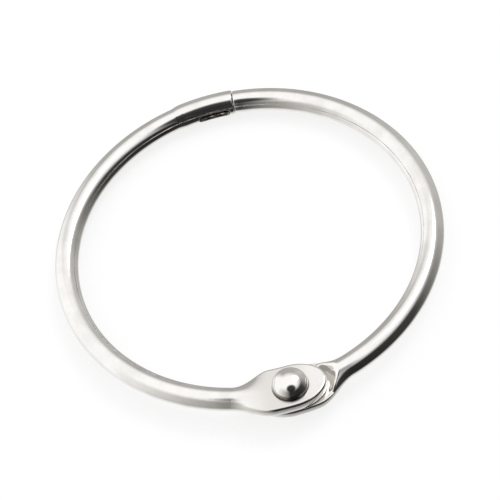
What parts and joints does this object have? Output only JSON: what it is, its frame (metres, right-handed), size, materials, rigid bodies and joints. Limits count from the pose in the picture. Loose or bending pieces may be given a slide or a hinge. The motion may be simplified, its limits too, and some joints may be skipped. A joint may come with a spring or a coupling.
{
  "type": "binder ring",
  "caption": "Hinged wire ring that opens on a riveted hinge and snaps shut to bind punched cards and sheets.",
  "frame": {"origin": "centre of the closed ring, in the plane of the wire's centre line", "axes": "+Z square to the ring, on the side where the socket half's eye lies on top at the hinge; the hinge is on -Y and the closure on +Y"},
  "size_m": [0.034, 0.0352, 0.0043],
  "materials": {
    "plated_wire": "bright nickel plating on steel wire",
    "plated_rivet": "bright nickel plating on a domed steel rivet"
  },
  "bodies": {
    "socket_side": {"socket_half": "plated_wire", "hinge_rivet": "plated_rivet"},
    "nib_side": {"nib_half": "plated_wire"}
  },
  "joints": [
    {"name": "hinge", "type": "hinge", "parent": "socket_side", "child": "nib_side", "pos_m": [0, -0.016, 0], "axis": [0, 0, -1], "range_deg": [0, 125]}
  ]
}
